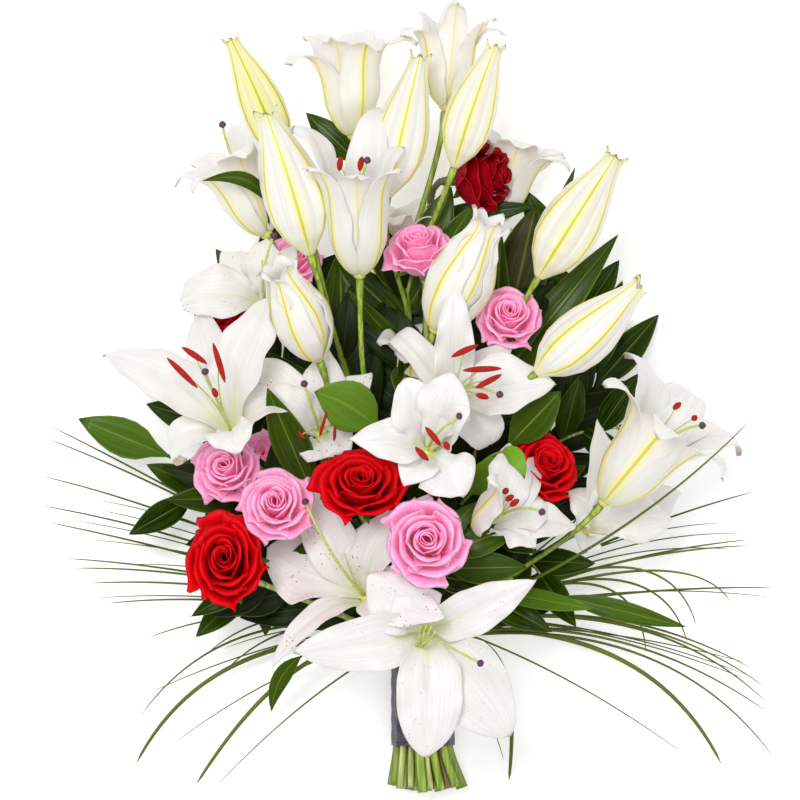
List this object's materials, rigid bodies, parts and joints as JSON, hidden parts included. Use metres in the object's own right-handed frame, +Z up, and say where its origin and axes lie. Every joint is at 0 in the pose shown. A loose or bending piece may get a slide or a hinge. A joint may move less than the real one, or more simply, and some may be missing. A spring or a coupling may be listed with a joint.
{
  "type": "mixed flower bouquet",
  "caption": "Hand-tied bouquet of white lilies, red and pink roses, leaves and bear grass, bound with a satin ribbon and laid on its back.",
  "frame": {"origin": "under the tie, on the flat of the ribbon wrap that rests on the surface", "axes": "+Y from the cut stem ends towards the flower tips, +Z up from the surface towards the side that is looked at, +X to the right of that view"},
  "size_m": [0.5533, 0.6006, 0.2083],
  "materials": {
    "petal_white": "soft matt petal, white with green at the root",
    "bud_white": "soft matt closed bud, white with yellow-green ribs",
    "petal_red": "velvety deep red petal",
    "petal_pink": "soft lilac-pink petal",
    "anther": "powdery rust-red pollen",
    "filament": "pale green waxy filament and pistil",
    "rose_stem": "woody green stem and leaves",
    "lily_stem": "smooth light green stem and leaves",
    "leaf_green": "glossy dark leaf",
    "grass_green": "thin matt grass blade",
    "ribbon_satin": "dark violet-grey satin"
  },
  "bodies": {
    "root": {"ribbon_tie": "ribbon_satin", "rose_stem_red_1": "rose_stem", "rose_stem_red_2": "rose_stem", "rose_stem_red_3": "rose_stem", "rose_stem_red_4": "rose_stem", "rose_stem_pink_1": "rose_stem", "rose_stem_pink_2": "rose_stem", "rose_stem_pink_3": "rose_stem", "rose_stem_pink_4": "rose_stem", "rose_stem_pink_5": "rose_stem", "lily_stem_1": "lily_stem", "lily_stem_2": "lily_stem", "lily_stem_3": "lily_stem", "lily_stem_4": "lily_stem", "lily_stem_5": "lily_stem", "lily_stem_6": "lily_stem", "lily_stem_7": "lily_stem", "ruscus_left": "leaf_green", "ruscus_right": "leaf_green", "stamens_1": "anther", "stamens_2": "anther", "stamens_3": "anther", "stamens_4": "anther", "rose_red_1": "petal_red", "rose_red_2": "petal_red", "rose_red_3": "petal_red", "rose_red_4": "petal_red", "rose_red_5": "petal_red", "rose_pink_1": "petal_pink", "rose_pink_2": "petal_pink", "rose_pink_3": "petal_pink", "rose_pink_4": "petal_pink", "rose_pink_5": "petal_pink", "rose_pink_6": "petal_pink", "rose_pink_7": "petal_pink", "lily_bud_1": "bud_white", "lily_bud_2": "bud_white", "lily_bud_3": "bud_white", "lily_bud_4": "bud_white", "lily_bud_5": "bud_white", "lily_bud_6": "bud_white", "lily_bud_7": "bud_white", "lily_bud_8": "bud_white", "lily_half_open_1": "petal_white", "lily_half_open_2": "petal_white", "lily_half_open_3": "petal_white", "lily_half_open_4": "petal_white", "lily_half_open_5": "petal_white", "lily_half_open_6": "petal_white", "lily_half_open_7": "petal_white", "lily_half_open_8": "petal_white", "lily_open_1": "petal_white", "lily_open_2": "petal_white", "lily_open_3": "petal_white", "lily_open_4": "petal_white", "lily_open_5": "petal_white", "lily_open_6": "petal_white", "lily_open_7": "petal_white", "bear_grass_left": "grass_green", "bear_grass_right": "grass_green"}
  },
  "joints": []
}
